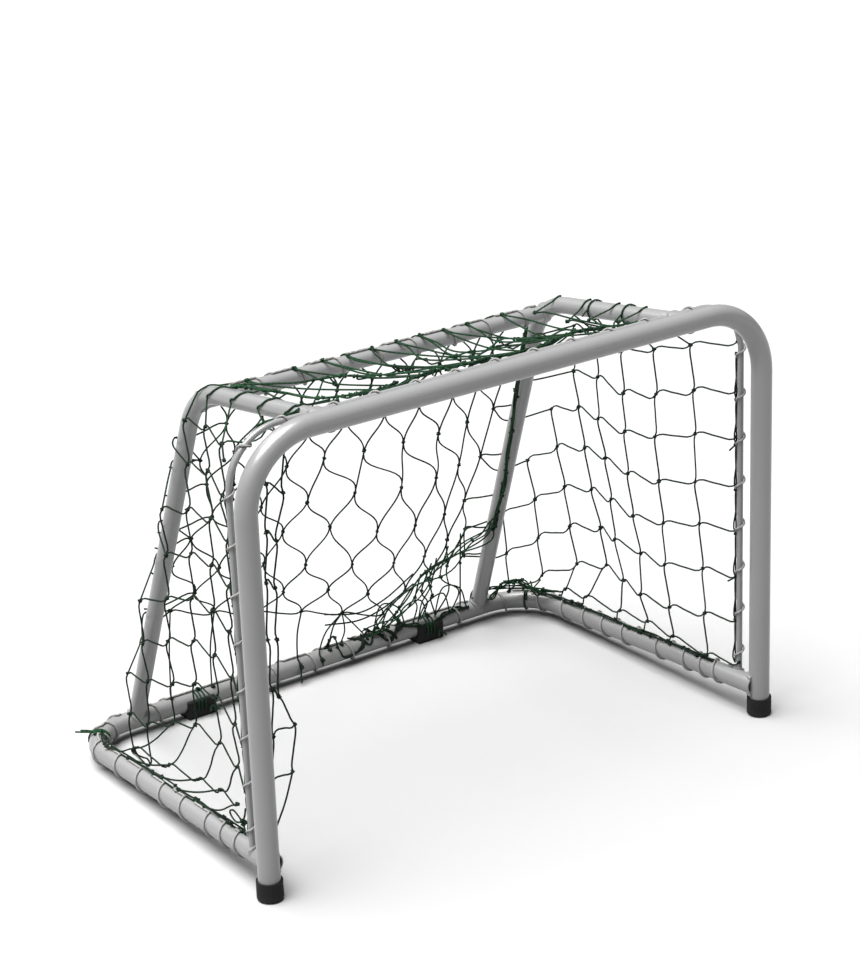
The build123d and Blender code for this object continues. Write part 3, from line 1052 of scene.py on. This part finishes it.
def bunches():
    """Where the spare net is drawn together."""
    seam = []
    for z in (0.52, 0.45, 0.38, 0.31, 0.25, 0.21, 0.17):
        seam.append((upright_x(z) - 0.010 - 0.080 * max(z - 0.27, 0), upright_y(z) - 0.012, z))
    slope = [(0.274, 0.178, 0.185), (0.266, 0.195, 0.150), (0.236, 0.215, 0.128), (0.190, 0.228, 0.106)]
    slope += [(0.150, 0.236, 0.076), (0.115, 0.240, 0.050), (0.085, 0.243, 0.036)]
    web = gathered(slope, 5, 0.0125, 2, 11, (2, 3, 5, 7))
    draw = np.random.default_rng(5)
    for _ in range(9):
        x = draw.uniform(0.11, 0.262)
        top = np.array((x, 0.236 - (x - 0.09) * 0.22, 0.050 + (x - 0.085) * 0.80))
        foot = np.array((x + draw.uniform(-0.035, 0.035), base_rear_y - 0.008, base_rear_z + base_r))
        swing = np.array((draw.normal() * 0.012, -0.004, draw.normal() * 0.006))
        upper = (top * 0.6 + foot * 0.4) + swing
        lower = (top * 0.25 + foot * 0.75) - swing * 0.8
        web.add(smooth([top, upper, lower, foot], 6))
        web.knot(upper)
    for x in (0.125, 0.165, 0.205, 0.235):
        arch = [(x - 0.028, 0.243, 0.030), (x - 0.016, 0.236, 0.055 + draw.uniform(0, 0.03))]
        arch += [(x + 0.012, 0.232, 0.070), (x + 0.030, 0.242, 0.032)]
        web.add(smooth(arch, 7))
    behind_bar = [(-0.274, -0.030, 0.5695), (-0.255, -0.078, 0.574), (-0.246, -0.112, 0.575)]
    behind_bar += [(-0.222, -0.158, 0.576), (-0.170, -0.178, 0.577), (-0.125, -0.174, 0.578)]
    inner = [(-0.266, -0.030, 0.570), (-0.217, -0.080, 0.574), (-0.192, -0.088, 0.573)]
    inner += [(-0.145, -0.100, 0.572), (-0.125, -0.135, 0.573), (-0.095, -0.170, 0.577)]
    along = [behind_crossbar(x) for x in np.arange(-0.20, 0.25, 0.05)]
    clumps = []
    for x in (-0.145, -0.095, -0.020, 0.085, 0.17):
        clumps.append([behind_crossbar(x + step) for step in (-0.030, 0.0, 0.030)])
    rod_bunch = [(-0.385, -0.203, 0.500), (-0.375, -0.200, 0.545)]
    rod_bunch += [(-0.340, -0.198, 0.577), (-0.280, -0.196, 0.584)]
    coil = [(0.286, 0.246, 0.042), (0.306, 0.238, 0.050), (0.350, 0.215, 0.047), (0.378, 0.160, 0.050)]
    loose = [(0.300, 0.230, 0.040), (0.318, 0.214, 0.062), (0.345, 0.205, 0.060), (0.362, 0.190, 0.044)]
    return merge(
        gathered(seam, 6, 0.0062, 4, 21, (3, 5, 7, 9, 13)),
        web,
        gathered(behind_bar, 4, 0.0026, 4, 31, (3, 5, 7)),
        gathered(inner, 2, 0.0020, 3, 32),
        gathered(along, 2, 0.0050, 6, 33, (3, 5, 9, 13)),
        *(gathered(clump, 3, 0.0030, 2, 35 + i) for i, clump in enumerate(clumps)),
        gathered(rod_bunch, 5, 0.003, 3, 51),
        gathered(coil, 3, 0.004, 3, 61),
        gathered(loose, 4, 0.006, 2, 62),
    )


# --- build ---

add_camera()

coat = powder_coat("powder_coat")
weld_coat = powder_coat("coated_weld", lumps=1.2)
rubber = moulded_rubber()
net_fibre = twisted_fibre("net_fibre", (0.0006, 0.0030, 0.0014), (0.0030, 0.0200, 0.0070), net_pitch, net_r)
lace_fibre = twisted_fibre("lace_fibre", (0.19, 0.188, 0.182), (0.27, 0.267, 0.26), lace_pitch, lace_r)

for name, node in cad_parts.items():
    finish = coat
    if name.endswith("_welds"):
        finish = weld_coat
    elif name.startswith(("foot_cap", "rear_pad")):
        finish = rubber
    elif name.startswith("net_") and "rod" not in name:
        finish = net_fibre
    elif name.startswith("lace_"):
        finish = lace_fibre
    for material_slot in node.material_slots:
        material_slot.material = finish

# Painted light: a lighter, greener copy of the same net cord, used where the net catches the light
green_dark, green_light = (0.0010, 0.0070, 0.0028), (0.0050, 0.0450, 0.0130)
lit_net_fibre = twisted_fibre("net_fibre_painted_lit", green_dark, green_light, net_pitch, net_r)

tree = cord_tree()
knot_shape = sheet_bend("sheet_bend")

for name, route, tube_r, wraps, towards in all_laces():
    lace = Cords()
    lace.add(lace_line(route, tube_r, wraps, towards))
    make_cords(name + "_cord", lace, tree, lace_fibre, lace_r, 8, 1, None, (name,))

left, left_knots = side_net(LEFT)
right, right_knots = side_net(RIGHT)
back, back_knots = rear_net()
roof = roof_net(left_knots, right_knots, back_knots)
around = (round_uprights(LEFT, left_knots, back_knots), round_uprights(RIGHT, right_knots, back_knots))
pieces = (
    ("net_cords_left", left, ("net_side_left",)),
    ("net_cords_right", right, ("net_side_right",)),
    ("net_cords_back", back, ("net_back",)),
    ("net_cords_top", roof, ("net_top",)),
    ("net_round_uprights", merge(*around), ()),
    ("net_front_edge", front_folds(), ()),
    ("net_base_edge", merge(base_borders(), rear_border(back_knots)), ()),
    ("net_bunches", bunches(), ()),
    ("net_ties", ties(), ()),
)
for seed, (name, cords, replaced) in enumerate(pieces):
    # The roof, the bunches and the ties take the painted-light copy of the net cord
    fibre = lit_net_fibre if name in ("net_cords_top", "net_bunches", "net_ties") else net_fibre
    make_cords(name, cords, tree, fibre, net_r, 6, seed + 2, knot_shape, replaced)

# Floor and light
floor_mesh = bpy.data.meshes.new("floor")
floor_mesh.from_pydata([(-9, -9, 0), (9, -9, 0), (9, 9, 0), (-9, 9, 0)], [], [(0, 1, 2, 3)])
floor = bpy.data.objects.new("floor", floor_mesh)
bpy.context.scene.collection.objects.link(floor)
pale = Shader("pale_floor")
pale_grey = pale.finish(Base_Color=(0.36, 0.36, 0.36), Roughness=0.95, Specular_IOR_Level=0.0)
floor_mesh.materials.append(pale_grey)
add_world((1.0, 1.0, 1.0), 0.10)
add_sun("key", (-0.30, 0.04, 0.95), 9.4, 55.0)
add_area_light("top_highlight", (-0.6, 1.6, 2.2), (0, 0, 0.4), 1.2, 14.0)
bpy.context.scene.view_settings.view_transform = "Standard"
